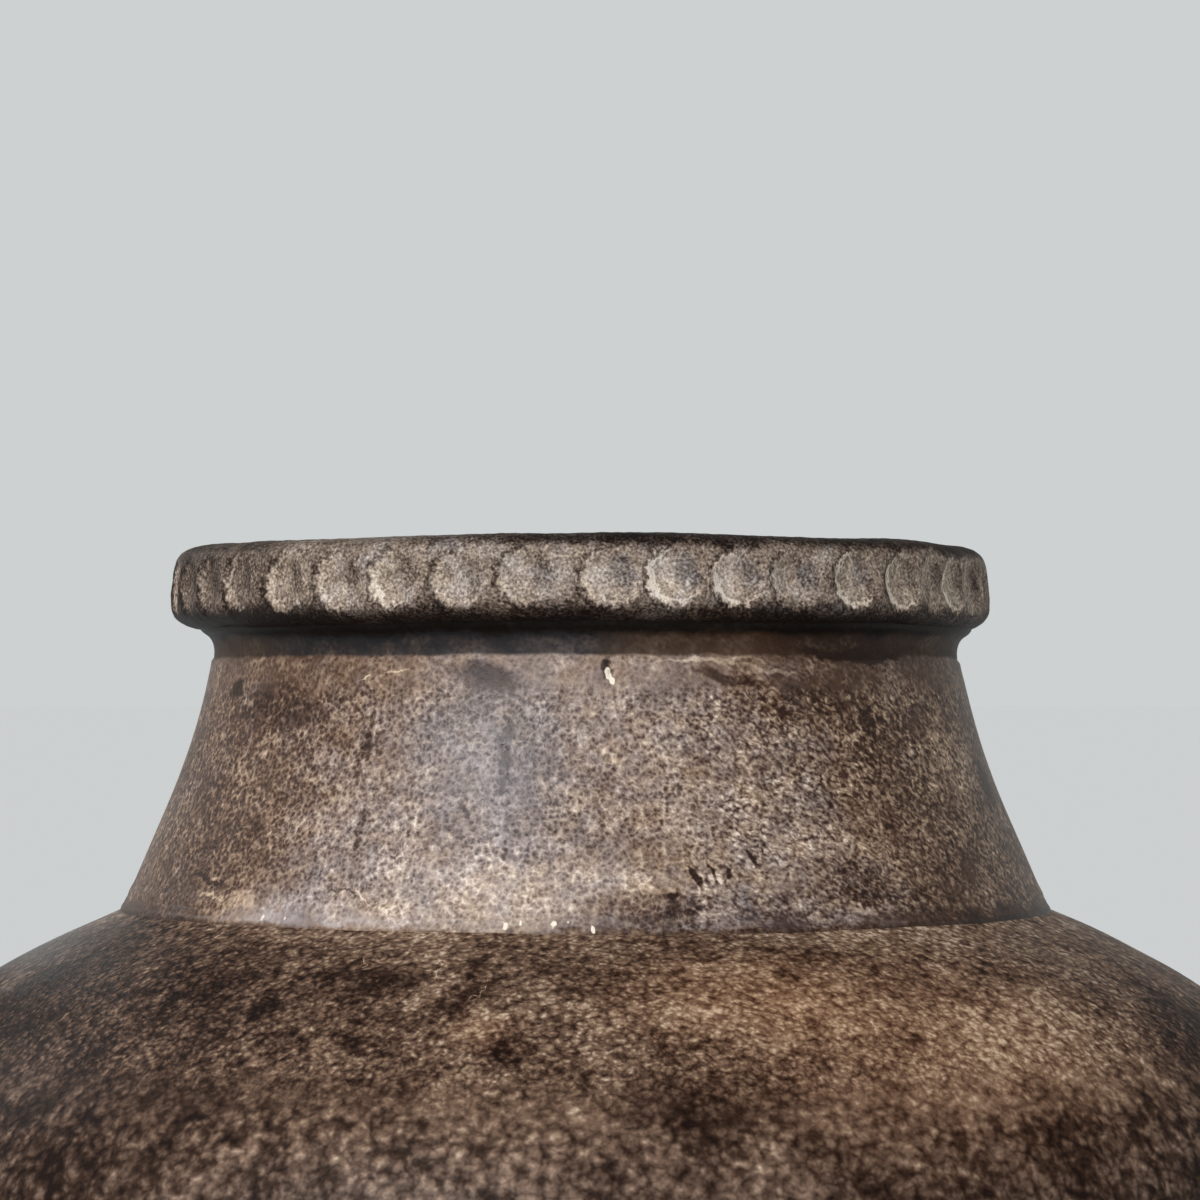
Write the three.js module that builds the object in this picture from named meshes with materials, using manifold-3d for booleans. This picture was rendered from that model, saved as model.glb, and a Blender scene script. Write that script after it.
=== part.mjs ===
// A large decorative earthenware jar, built the way a potter builds one: in clay sections that are turned
// one by one, keyed into each other and pressed together, with coils of clay pressed into the corners. The
// sections are a foot ring, a floor slab, the two halves of the belly, a flaring neck and a thick rim band with
// a row of fingertip prints. Lengths are in millimetres. +Z is up and -Y is the jar's front, and the origin is
// the centre of the ring that the jar stands on.
import * as THREE from "three";
import { mergeVertices } from "three/addons/utils/BufferGeometryUtils.js";
import Module from "manifold-3d";

const wasm = await Module();
wasm.setup();

// Belly
const BELLY_RADIUS = 222;
const BELLY_LEVEL = 218; // height of the widest level, where the two halves meet
const SHOULDER_HEIGHT = 87.3; // from the widest level up to the crease under the neck
const BODY_WALL = 9;

// Foot and floor
const FOOT_RADIUS = 104; // outside, where the jar stands
const FOOT_FLARE = 3; // how much wider the ring is at its top
const FOOT_HEIGHT = 12;
const FOOT_WIDTH = 15;
const FOOT_EDGE = 2; // worn corner of the ring
const FLOOR_THICKNESS = 11;

// Neck
const NECK_FOOT_RADIUS = 135;
const THROAT_RADIUS = 109.9; // outside, at the top of the neck's sloping side
const THROAT_HEIGHT = 71.3; // of that level over the crease
const NECK_HOLLOW = 2.5; // how far the side bows in from a straight cone
const NECK_WALL = 9;
const TOOL_LINE_DEPTH = 0.6; // step that the turning tool left at the throat
const COVE_HEIGHT = 9.2; // of the hollow between the throat and the rim
const COVE_REACH = 3.2; // how far that hollow comes out below the rim

// Rim band
const RIM_OVERHANG = 10.1; // how far the band stands out over the throat
const RIM_INSIDE = 1.4; // how far it stands in over the neck's bore
const RIM_HEIGHT = 24.7;
const RIM_LEAN = 1.3; // how far the band's face leans in at its upper end
const RIM_TOP_ROUND = 7.2; // height of the rounding at the top of the face
const RIM_TOP_REACH = 13.2; // and its width
const RIM_UNDER_ROUND = 7;
const RIM_INNER_ROUND = 6;
const LIP_HEIGHT = 9; // how far the neck's lip reaches up into the band

// Fingertip prints round the rim
const PRINT_COUNT = 40;
const PRINT_START = 3; // degrees from the front to the middle of the nearest print
const PRINT_WIDTH = 15.4;
const PRINT_HEIGHT = 15.2;
const PRINT_DEPTH = 2.4;
const PRINT_LEVEL = 11.2; // of their centres over the band's underside
const PRINT_SKEW = 0.9; // sideways travel of the finger for each millimetre that it went in
const FINGER_BULGE = 6; // half the thickness of the fingertip

// Seams
const SLIP_GAP = 0.3; // the line of slip between two sections
const KEY_LAND = 2; // flat left on each side of a tongue
const KEY_DEPTH = 3;
const KEY_TAPER = 1.2;
const SEAM_BEAD = 3.4; // leg of the bead pressed into the crease under the neck
const FLOOR_COIL = 9; // leg of the coil in the corner of the floor
const BELLY_COIL_HEIGHT = 26; // of the flat coil over the belly's seam, inside
const BELLY_COIL_THICKNESS = 5;

// Facets
const SIDES = 48; // round each turned section
const FINGER_SIDES = 10;
const FINGER_RINGS = 8;

// Levels and radii that follow from the sizes above
const HALF_GAP = SLIP_GAP / 2;
const FOOT_TOP_RADIUS = FOOT_RADIUS + FOOT_FLARE;
const FLOOR_TOP = FOOT_HEIGHT + FLOOR_THICKNESS;
const CREASE_LEVEL = BELLY_LEVEL + SHOULDER_HEIGHT;
const THROAT_LEVEL = CREASE_LEVEL + THROAT_HEIGHT;
const RIM_UNDERSIDE = THROAT_LEVEL + COVE_HEIGHT;
const RIM_TOP = RIM_UNDERSIDE + RIM_HEIGHT;
const RIM_RADIUS = THROAT_RADIUS + RIM_OVERHANG;
const SHOULDER_BORE = NECK_FOOT_RADIUS - NECK_WALL;
const THROAT_BORE = THROAT_RADIUS - NECK_WALL;
const BODY_KEY = BODY_WALL - 2 * KEY_LAND;
const NECK_KEY = NECK_WALL - 2 * KEY_LAND;
const FOOT_KEY = FOOT_WIDTH - 2 * KEY_LAND;

// Half the height of an ellipse that is `radius` wide at its middle and `reach` wide `height` away from it.
function ellipseHalf(radius, reach, height) {
  return height / Math.sqrt(1 - (reach / radius) ** 2);
}

const SHOULDER_RISE = ellipseHalf(BELLY_RADIUS, NECK_FOOT_RADIUS, SHOULDER_HEIGHT);
const BOWL_DROP = ellipseHalf(BELLY_RADIUS, FOOT_TOP_RADIUS, BELLY_LEVEL - FOOT_HEIGHT);

// Radius of the belly at a level, `inset` inside its outer face.
function bellyRadius(level, inset = 0) {
  const half = (level > BELLY_LEVEL ? SHOULDER_RISE : BOWL_DROP) - inset;
  return (BELLY_RADIUS - inset) * Math.sqrt(1 - ((level - BELLY_LEVEL) / half) ** 2);
}

// Level of the shoulder at a radius, `inset` inside its outer face.
function shoulderLevel(radius, inset = 0) {
  return BELLY_LEVEL + (SHOULDER_RISE - inset) * Math.sqrt(1 - (radius / (BELLY_RADIUS - inset)) ** 2);
}

// Points of the belly's section between two levels, even in angle round its ellipse.
function bellyStretch(from, to, inset, steps) {
  const half = (Math.max(from, to) > BELLY_LEVEL ? SHOULDER_RISE : BOWL_DROP) - inset;
  const start = Math.asin((from - BELLY_LEVEL) / half);
  const end = Math.asin((to - BELLY_LEVEL) / half);
  return Array.from({ length: steps + 1 }, (_, i) => {
    const angle = THREE.MathUtils.lerp(start, end, i / steps);
    return new THREE.Vector2((BELLY_RADIUS - inset) * Math.cos(angle), BELLY_LEVEL + half * Math.sin(angle));
  });
}

// Middle of the belly's wall at a level.
function wallMiddle(level) {
  return (bellyRadius(level) + bellyRadius(level, BODY_WALL)) / 2;
}

// Inner faces of the two halves of the belly, walked downwards.
const SHOULDER_TOP = shoulderLevel(SHOULDER_BORE, BODY_WALL);
const SHOULDER_INSIDE = bellyStretch(SHOULDER_TOP, BELLY_LEVEL + HALF_GAP, BODY_WALL, 4);
const BOWL_INSIDE = bellyStretch(BELLY_LEVEL - HALF_GAP, FLOOR_TOP + HALF_GAP, BODY_WALL, 5);

// Section of a tapered tongue or groove, walked outwards. It reaches `depth` from `level`, up or down, and
// `spare` makes a groove that much roomier all round.
function key(middle, level, width, depth, spare = 0) {
  const half = width / 2 + spare;
  const tipHalf = half - Math.min(KEY_TAPER, half / 2);
  const tip = level + depth + Math.sign(depth) * spare;
  return [
    new THREE.Vector2(middle - half, level),
    new THREE.Vector2(middle - tipHalf, tip),
    new THREE.Vector2(middle + tipHalf, tip),
    new THREE.Vector2(middle + half, level),
  ];
}

// Tongue under the section above a seam, and groove in the section below it.
function tongue(middle, seam, width) {
  return key(middle, seam + HALF_GAP, width, -KEY_DEPTH);
}

function groove(middle, seam, width) {
  return key(middle, seam - HALF_GAP, width, -KEY_DEPTH, HALF_GAP).reverse();
}

// Quarter of an ellipse, walked anticlockwise from `turn` quarter turns on.
function quarter(x, y, reach, rise, turn) {
  const start = (turn * Math.PI) / 2;
  return new THREE.EllipseCurve(x, y, reach, rise, start, start + Math.PI / 2).getPoints(3);
}

// A solid turned about Z from its section in radius and height, walked anticlockwise.
function turned(points) {
  const section = [...points];
  if (section[0].x > 0) section.push(section[0].clone());
  return new THREE.LatheGeometry(section, SIDES).rotateX(Math.PI / 2);
}

function footRing() {
  const inside = FOOT_TOP_RADIUS - FOOT_WIDTH;
  const top = FOOT_HEIGHT - HALF_GAP;
  const edge = new THREE.QuadraticBezierCurve(
    new THREE.Vector2(FOOT_RADIUS - FOOT_EDGE, 0),
    new THREE.Vector2(FOOT_RADIUS, 0),
    new THREE.Vector2(FOOT_RADIUS + (FOOT_FLARE * FOOT_EDGE) / FOOT_HEIGHT, FOOT_EDGE),
  );
  return turned([
    new THREE.Vector2(inside + FOOT_EDGE, 0),
    ...edge.getPoints(2),
    new THREE.Vector2(FOOT_TOP_RADIUS, top),
    ...groove(FOOT_TOP_RADIUS - FOOT_WIDTH / 2, FOOT_HEIGHT, FOOT_KEY),
    new THREE.Vector2(inside, top),
    new THREE.Vector2(inside, FOOT_EDGE),
  ]);
}

function floorSlab() {
  const bottom = FOOT_HEIGHT + HALF_GAP;
  const top = FLOOR_TOP - HALF_GAP;
  return turned([
    new THREE.Vector2(0, bottom),
    ...tongue(FOOT_TOP_RADIUS - FOOT_WIDTH / 2, FOOT_HEIGHT, FOOT_KEY),
    ...bellyStretch(bottom, top, 0, 1),
    ...groove(wallMiddle(FLOOR_TOP), FLOOR_TOP, BODY_KEY),
    new THREE.Vector2(0, top),
  ]);
}

function lowerBelly() {
  return turned([
    ...bellyStretch(FLOOR_TOP + HALF_GAP, BELLY_LEVEL - HALF_GAP, 0, 7),
    ...groove(wallMiddle(BELLY_LEVEL), BELLY_LEVEL, BODY_KEY),
    ...BOWL_INSIDE,
    ...tongue(wallMiddle(FLOOR_TOP), FLOOR_TOP, BODY_KEY),
  ]);
}

function upperBelly() {
  const top = CREASE_LEVEL - HALF_GAP;
  return turned([
    ...bellyStretch(BELLY_LEVEL + HALF_GAP, top, 0, 6),
    ...groove(NECK_FOOT_RADIUS - NECK_WALL / 2, CREASE_LEVEL, NECK_KEY),
    new THREE.Vector2(SHOULDER_BORE, top),
    ...SHOULDER_INSIDE,
    ...tongue(wallMiddle(BELLY_LEVEL), BELLY_LEVEL, BODY_KEY),
  ]);
}

// The neck's sloping side, from the crease up to the throat.
function neckSide(inset) {
  return new THREE.QuadraticBezierCurve(
    new THREE.Vector2(NECK_FOOT_RADIUS - inset, CREASE_LEVEL + HALF_GAP),
    new THREE.Vector2(
      (NECK_FOOT_RADIUS + THROAT_RADIUS) / 2 - 2 * NECK_HOLLOW - inset,
      (CREASE_LEVEL + THROAT_LEVEL) / 2,
    ),
    new THREE.Vector2(THROAT_RADIUS - inset, THROAT_LEVEL),
  );
}

function neck() {
  const top = RIM_UNDERSIDE - HALF_GAP;
  const coveStart = THROAT_RADIUS - TOOL_LINE_DEPTH;
  const cove = new THREE.QuadraticBezierCurve(
    new THREE.Vector2(coveStart, THROAT_LEVEL),
    new THREE.Vector2(coveStart, top),
    new THREE.Vector2(THROAT_RADIUS + COVE_REACH, top),
  );
  return turned([
    ...neckSide(0).getPoints(5),
    ...cove.getPoints(3),
    ...key(THROAT_RADIUS - NECK_WALL / 2, top, NECK_KEY, LIP_HEIGHT).reverse(),
    new THREE.Vector2(THROAT_BORE, top),
    ...neckSide(NECK_WALL).getPoints(3).reverse(),
    ...tongue(NECK_FOOT_RADIUS - NECK_WALL / 2, CREASE_LEVEL, NECK_KEY),
  ]);
}

// A three.js geometry as a solid that can be cut, and the cut solid as a geometry again.
function solid(geometry) {
  const bare = geometry.clone();
  bare.deleteAttribute("normal");
  bare.deleteAttribute("uv");
  const merged = mergeVertices(bare, 1e-4);
  return new wasm.Manifold(
    new wasm.Mesh({
      numProp: 3,
      vertProperties: merged.attributes.position.array,
      triVerts: new Uint32Array(merged.index.array),
    }),
  );
}

function geometryOf(cut) {
  const mesh = cut.getMesh();
  return new THREE.BufferGeometry()
    .setAttribute("position", new THREE.BufferAttribute(mesh.vertProperties, 3))
    .setIndex(new THREE.BufferAttribute(mesh.triVerts, 1));
}

// The end of a finger in the band's face at the front. Its flattened ball leaves a print of the stated width,
// height and depth. It leans with the face, and it went in from the right, so that a print's left side is the
// steep one.
function fingertip() {
  const share = Math.sqrt(1 - (1 - PRINT_DEPTH / FINGER_BULGE) ** 2);
  const lean = RIM_LEAN / (RIM_HEIGHT - RIM_TOP_ROUND - RIM_UNDER_ROUND);
  const faceRadius = RIM_RADIUS - lean * (PRINT_LEVEL - RIM_UNDER_ROUND);
  const sunk = FINGER_BULGE - PRINT_DEPTH;
  return new THREE.SphereGeometry(1, FINGER_SIDES, FINGER_RINGS)
    .rotateZ(Math.PI / 2)
    .scale(FINGER_BULGE, PRINT_WIDTH / 2 / share, PRINT_HEIGHT / 2 / share)
    .translate(sunk, 0, 0)
    .applyMatrix4(new THREE.Matrix4().makeShear(PRINT_SKEW, 0, 0, 0, -lean, 0))
    .translate(faceRadius, 0, RIM_UNDERSIDE + PRINT_LEVEL)
    .rotateZ(-Math.PI / 2);
}

function rimBand() {
  const seat = RIM_UNDERSIDE + HALF_GAP;
  const bore = THROAT_BORE - RIM_INSIDE;
  const crown = RIM_RADIUS - RIM_LEAN - RIM_TOP_REACH;
  const underEdge = RIM_RADIUS - RIM_UNDER_ROUND;
  let band = solid(turned([
    ...key(THROAT_RADIUS - NECK_WALL / 2, seat, NECK_KEY, LIP_HEIGHT, SLIP_GAP),
    ...quarter(underEdge, seat + RIM_UNDER_ROUND, RIM_UNDER_ROUND, RIM_UNDER_ROUND, -1),
    ...quarter(crown, RIM_TOP - RIM_TOP_ROUND, RIM_TOP_REACH, RIM_TOP_ROUND, 0),
    ...quarter(crown, RIM_TOP - RIM_INNER_ROUND, crown - bore, RIM_INNER_ROUND, 1).slice(1),
    new THREE.Vector2(bore, seat),
  ]));
  for (let i = 0; i < PRINT_COUNT; i++) {
    const turn = THREE.MathUtils.degToRad(PRINT_START + (i * 360) / PRINT_COUNT);
    band = band.subtract(solid(fingertip().rotateZ(turn)));
  }
  return geometryOf(band);
}

// A bead with a hollow face, pressed into the crease between the shoulder and the neck.
function neckSeamBead() {
  const foot = NECK_FOOT_RADIUS + SEAM_BEAD;
  const side = neckSide(0).getPoint(SEAM_BEAD / THROAT_HEIGHT);
  const corner = new THREE.Vector2(NECK_FOOT_RADIUS + SLIP_GAP, CREASE_LEVEL + SLIP_GAP);
  const out = new THREE.Vector2(foot, shoulderLevel(foot) + SLIP_GAP);
  const up = new THREE.Vector2(side.x + SLIP_GAP, side.y);
  return turned([corner, ...hollowFace(out, corner, up)]);
}

// Face of a pressed coil from one wall to the other, drawn halfway in towards the corner.
function hollowFace(from, corner, to) {
  const middle = from.clone().add(to).divideScalar(2);
  return new THREE.QuadraticBezierCurve(from, middle.lerp(corner, 0.5), to).getPoints(3);
}

// A point a slip's width off an inner face, at a level, read off the face's straight steps.
function offWall(face, level) {
  const below = face.findIndex((point, i) => i > 0 && point.y <= level + SLIP_GAP);
  const [high, low] = [face[below - 1], face[below]];
  return new THREE.Vector2(THREE.MathUtils.mapLinear(level, high.y, low.y, high.x, low.x) - SLIP_GAP, level);
}

// A coil pressed into the corner between the floor and the belly's wall.
function floorCoil() {
  const floor = FLOOR_TOP + HALF_GAP;
  const corner = offWall(BOWL_INSIDE, floor);
  const up = offWall(BOWL_INSIDE, floor + FLOOR_COIL);
  const along = new THREE.Vector2(corner.x - FLOOR_COIL, floor);
  return turned([corner, ...hollowFace(up, corner, along)]);
}

// A coil flattened over the belly's seam, inside.
function bellyCoil() {
  const low = offWall(BOWL_INSIDE, BELLY_LEVEL - BELLY_COIL_HEIGHT / 2);
  const high = offWall(SHOULDER_INSIDE, BELLY_LEVEL + BELLY_COIL_HEIGHT / 2);
  const middle = offWall(BOWL_INSIDE, BELLY_LEVEL);
  const crown = new THREE.Vector2(middle.x - 2 * BELLY_COIL_THICKNESS, BELLY_LEVEL);
  return turned([middle, ...new THREE.QuadraticBezierCurve(high, crown, low).getPoints(4)]);
}

const darkGlaze = { color: 0x644f40, roughness: 0.5, metalness: 0 };
const fleckedGlaze = { color: 0x877668, roughness: 0.5, metalness: 0 };
const wornGlaze = { color: 0x827469, roughness: 0.6, metalness: 0 };
const bareClay = { color: 0x8f6a50, roughness: 0.9, metalness: 0 };

const jar = new THREE.Group();

function add(name, geometry, finish) {
  const mesh = new THREE.Mesh(geometry, new THREE.MeshStandardMaterial(finish));
  mesh.name = name;
  jar.add(mesh);
}

add("foot_ring", footRing(), bareClay);
add("floor_slab", floorSlab(), bareClay);
add("floor_coil", floorCoil(), bareClay);
add("lower_belly", lowerBelly(), darkGlaze);
add("belly_coil", bellyCoil(), bareClay);
add("upper_belly", upperBelly(), darkGlaze);
add("neck_seam_bead", neckSeamBead(), fleckedGlaze);
add("neck", neck(), fleckedGlaze);
add("rim_band", rimBand(), wornGlaze);

export default jar;
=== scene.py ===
import math
import random

import bmesh
import bpy
from mathutils import Matrix, Vector


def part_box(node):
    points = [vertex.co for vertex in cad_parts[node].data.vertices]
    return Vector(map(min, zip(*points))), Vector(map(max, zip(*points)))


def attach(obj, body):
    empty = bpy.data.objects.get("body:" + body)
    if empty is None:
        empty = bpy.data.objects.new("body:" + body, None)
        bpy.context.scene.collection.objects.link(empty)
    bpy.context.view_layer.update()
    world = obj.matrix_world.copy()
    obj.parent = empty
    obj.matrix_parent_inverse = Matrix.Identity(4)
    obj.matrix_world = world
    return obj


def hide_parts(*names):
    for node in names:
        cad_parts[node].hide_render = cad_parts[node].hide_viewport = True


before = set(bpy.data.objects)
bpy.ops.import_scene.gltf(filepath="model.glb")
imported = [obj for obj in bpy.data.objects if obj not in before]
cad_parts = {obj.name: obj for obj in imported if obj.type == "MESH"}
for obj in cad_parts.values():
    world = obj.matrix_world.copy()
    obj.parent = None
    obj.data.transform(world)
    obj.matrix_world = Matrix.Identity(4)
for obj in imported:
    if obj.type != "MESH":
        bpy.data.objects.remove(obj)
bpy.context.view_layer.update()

# A large earthenware jar: thrown and coiled sections pressed together, a fingertip-printed rim, and a worn
# brown glaze rubbed back to cream flecks. Lengths are in metres, with MM for those that a potter would give
# in millimetres, and angles on the jar are in degrees from its front, growing to the right.
MM = 0.001
TURN = 2 * math.pi

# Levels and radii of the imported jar
FOOT_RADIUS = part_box("foot_ring")[1].x
FOOT_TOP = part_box("foot_ring")[1].z
FLOOR_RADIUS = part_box("floor_slab")[1].x
FLOOR_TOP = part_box("floor_slab")[1].z
BELLY_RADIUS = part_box("lower_belly")[1].x
BELLY_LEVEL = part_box("lower_belly")[1].z
CREASE_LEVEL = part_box("upper_belly")[1].z
NECK_FOOT_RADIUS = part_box("neck")[1].x
RIM_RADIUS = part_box("rim_band")[1].x
RIM_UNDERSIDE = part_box("rim_band")[0].z
RIM_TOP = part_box("rim_band")[1].z

# The clay
WALL = 9 * MM
FOOT_WIDTH = 15 * MM
FOOT_FLARE = 3 * MM
LAP = 0.8 * MM  # how far one section's edge is pressed into the next
RIM_SHIFT = 1.6 * MM  # how far the band was laid to the left of the neck's axis
SWELL_ROOM = 0.5 * MM  # the drawn faces stay this far inside the solids, and the clay's swellings take it up

# Fingertip prints across the front, as the potter spaced them: the middle of each, and how pale it is worn
FRONT_PRINTS = (
    (-69, 0.2), (-61, 0.3), (-52.5, 0.5), (-42.5, 0.6), (-33, 0.5), (-24.5, 0.6), (-15.5, 0.4), (-6.5, 0.3),
    (4, 0.6), (12.2, 1), (20.8, 0.95), (29.3, 0.4), (39, 1), (48.5, 1), (56, 0.2), (62.5, 0.8), (69, 0.4),
)
BACK_PRINTS = 24
PRINT_LEVEL = RIM_UNDERSIDE + 11.4 * MM
PRINT_RADIUS = 7.9 * MM
PRINT_DEPTH = 2.2 * MM
LEAN_SHIFT = 3.2 * MM  # each print is pressed once more, so far to its left
LEAN_RADIUS = 4.4 * MM
LEAN_DEPTH = 0.8 * MM
PRINTED_FACE = 9 * MM  # how far in from the rim's widest ring its printed side reaches
FAR_OFF = 9  # print radii, for faces that no print reaches

# The notch broken out of the throat's edge, near the front
NOTCH_TURN = 3.6
NOTCH_RADIUS = 109.6 * MM
NOTCH_LEVEL = CREASE_LEVEL + 69 * MM
NOTCH_SIZE = 7 * MM
NOTCH_PRESSES = ((2.4, 1.1), (0.6, 0.8), (-1.4, 0.9), (-2.8, 0.6))  # mm over its middle, and mm deep

LIP = 9 * MM  # how far down inside the mouth the outer glaze goes
GLAZE_LINE = -271  # mm over the crease, where the glaze stops over the foot

# The photographer's camera, and a studio floor so wide that its edge lies on the horizon
PHOTO_SIZE = 1200
FOCAL_PIXELS = 4080
HORIZON_ROW = 706
AXIS_COLUMN = 586
CAMERA_DISTANCE = 10 * RIM_RADIUS
CAMERA_LEVEL = CREASE_LEVEL + 58.5 * MM
FLOOR_REACH = 3000
CLIP_END = 5000

# The neck's outer face from the throat down to the crease, as (radius, height over the crease) in mm
NECK_FACE = (
    (113.2, 80.4), (110.3, 77.8), (109.3, 75), (109.3, 72.3), (110, 71.4), (110.6, 68.2), (113.9, 54.5),
    (119.6, 37), (126.9, 19.5), (131.8, 8), (134.2, 2.4),
)
LEDGE = (72.3, 71.4)  # heights of the small step under the hollow throat, which is sharp


def deselect():
    bpy.ops.object.select_all(action="DESELECT")


def choose(obj):
    deselect()
    obj.select_set(True)
    bpy.context.view_layer.objects.active = obj


def edit(obj):
    choose(obj)
    bpy.ops.object.mode_set(mode="EDIT")
    bpy.context.tool_settings.mesh_select_mode = (True, False, False)


def leave_edit():
    bpy.ops.object.mode_set(mode="OBJECT")


def turned(name, outline, sides, steps):
    """Draws a closed outline of (radius, height, corner) as a curve and spins it round the jar's axis."""
    deselect()
    bpy.ops.curve.primitive_bezier_curve_add()
    drawn = bpy.context.object
    drawn.name = name
    spline = drawn.data.splines[0]
    spline.bezier_points.add(len(outline) - len(spline.bezier_points))
    for point, (radius, height, corner) in zip(spline.bezier_points, outline):
        point.co = (radius, 0, height)
        point.handle_left_type = "VECTOR" if corner else "AUTO"
        point.handle_right_type = point.handle_left_type
    spline.use_cyclic_u = True
    spline.resolution_u = steps
    bpy.ops.object.convert(target="MESH")
    piece = bpy.context.object
    edit(piece)
    bpy.ops.mesh.select_all(action="SELECT")
    bpy.ops.mesh.spin(steps=sides, angle=TURN, center=(0, 0, 0), axis=(0, 0, 1), use_auto_merge=True)
    bpy.ops.mesh.select_all(action="SELECT")
    bpy.ops.mesh.remove_doubles(threshold=0.01 * MM)
    bpy.ops.mesh.normals_make_consistent(inside=False)
    leave_edit()
    bpy.ops.object.shade_smooth()
    return piece


def apply_modifiers(piece):
    choose(piece)
    for modifier in list(piece.modifiers):
        bpy.ops.object.modifier_apply(modifier=modifier.name)


def swell(piece, size, height, in_step=False):
    """Soft swellings of a stated size and height. In step, they move every piece alike, so that seams stay
    closed."""
    clouds = bpy.data.textures.new(f"{piece.name}_swellings", "CLOUDS")
    clouds.noise_scale = size
    clouds.noise_depth = 1
    clouds.cloud_type = "COLOR" if in_step else "GRAYSCALE"
    modifier = piece.modifiers.new("swellings", "DISPLACE")
    modifier.texture = clouds
    modifier.texture_coords = "LOCAL"
    modifier.direction = "RGB_TO_XYZ" if in_step else "NORMAL"
    modifier.mid_level = 0.5
    modifier.strength = 2 * height
    apply_modifiers(piece)


def hand_made(piece):
    """No hand-built jar is quite round: its walls wander by a fraction of a millimetre."""
    swell(piece, 60 * MM, 0.8 * MM, in_step=True)


def subdivide_smooth(piece):
    modifier = piece.modifiers.new("smoothing", "SUBSURF")
    modifier.levels = 1
    modifier.render_levels = 1
    apply_modifiers(piece)


def ellipse_half(radius, reach, height):
    return height / math.sqrt(1 - (reach / radius) ** 2)


SHOULDER_RISE = ellipse_half(BELLY_RADIUS, NECK_FOOT_RADIUS, CREASE_LEVEL - BELLY_LEVEL)
BOWL_DROP = ellipse_half(BELLY_RADIUS, FOOT_RADIUS, BELLY_LEVEL - FOOT_TOP)


def belly_radius(level, inset=0.0):
    half = (SHOULDER_RISE if level > BELLY_LEVEL else BOWL_DROP) - inset
    return (BELLY_RADIUS - inset) * math.sqrt(max(0, 1 - ((level - BELLY_LEVEL) / half) ** 2))


def shoulder_level(radius, inset=0.0):
    return BELLY_LEVEL + (SHOULDER_RISE - inset) * math.sqrt(1 - (radius / (BELLY_RADIUS - inset)) ** 2)


def belly_points(low, high, inset, count):
    """Points of the belly's smooth face between two levels, going up. The first and the last are corners."""
    half = (SHOULDER_RISE if max(low, high) > BELLY_LEVEL else BOWL_DROP) - inset
    start = math.asin((low - BELLY_LEVEL) / half)
    end = math.asin((high - BELLY_LEVEL) / half)
    points = []
    for i in range(count + 1):
        angle = start + (end - start) * i / count
        radius = (BELLY_RADIUS - inset) * math.cos(angle)
        points.append((radius, BELLY_LEVEL + half * math.sin(angle), i in (0, count)))
    return points


def around(degrees, radius, level):
    """The point at that angle from the jar's front."""
    angle = math.radians(degrees)
    return Vector((radius * math.sin(angle), -radius * math.cos(angle), level))


def make_rim():
    def at(inwards, up, corner=False):
        return (RIM_RADIUS - inwards * MM, RIM_UNDERSIDE + up * MM, corner)

    outline = [
        at(12.5, 0, True), at(7, 0.1), at(3, 1.7), at(0.8, 4.0), at(0, 7.4), at(0.4, 13.5), at(1.2, 17.8),
        at(2.6, 21.1), at(5.8, 23), at(10, 23.7), at(14.2, 23.8), at(18.2, 22.7), at(20, 19.6), at(20.1, 12),
        at(20, 0, True),
    ]
    rim = turned("rim", outline, 360, 3)
    press_prints(rim)
    subdivide_smooth(rim)
    store_print_places(rim)
    hand_made(rim)
    swell(rim, 25 * MM, 0.25 * MM)
    swell(rim, 3 * MM, 0.16 * MM)
    edit(rim)
    bpy.ops.mesh.select_all(action="SELECT")
    bpy.ops.transform.translate(value=(-RIM_SHIFT, 0, 0))
    leave_edit()
    return rim


def difference(degrees, others):
    """The angle from one direction to another, the short way round."""
    return (degrees - others + 180) % 360 - 180


def all_prints():
    """Each print's angle, level and paleness: those across the front, then the rest, round the back."""
    random.seed(7)
    last, first = FRONT_PRINTS[-1][0], FRONT_PRINTS[0][0] + 360
    step = (first - last) / (BACK_PRINTS + 1)
    back = [
        (last + step * (i + 1) + random.uniform(-0.8, 0.8), random.uniform(0.2, 0.7))
        for i in range(BACK_PRINTS)
    ]
    return [
        (degrees, PRINT_LEVEL + random.uniform(-0.4, 0.4) * MM, pale)
        for degrees, pale in (*FRONT_PRINTS, *back)
    ]


PRINTS = all_prints()


def press(mesh, spot, push, reach, falloff):
    """Pushes the clay at a spot, with the clay around it following out to `reach`."""
    nearest = min((v for v in mesh.verts if not v.hide), key=lambda v: (v.co - spot).length_squared)
    bpy.ops.mesh.select_all(action="DESELECT")
    nearest.select = True
    mesh.select_flush_mode()
    bpy.ops.transform.translate(
        value=push, use_proportional_edit=True, proportional_edit_falloff=falloff, proportional_size=reach
    )


def press_prints(rim):
    """Presses each print in, and then once more at its left, where the fingertip leant."""
    edit(rim)
    mesh = bmesh.from_edit_mesh(rim.data)
    for degrees, level, _ in PRINTS:
        outwards = around(degrees, 1, 0)
        spot = around(degrees, RIM_RADIUS, level)
        left = around(degrees - 90, 1, 0)
        press(mesh, spot, -outwards * PRINT_DEPTH, PRINT_RADIUS, "SPHERE")
        press(mesh, spot + left * LEAN_SHIFT, -outwards * LEAN_DEPTH, LEAN_RADIUS, "SMOOTH")
    leave_edit()


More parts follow.
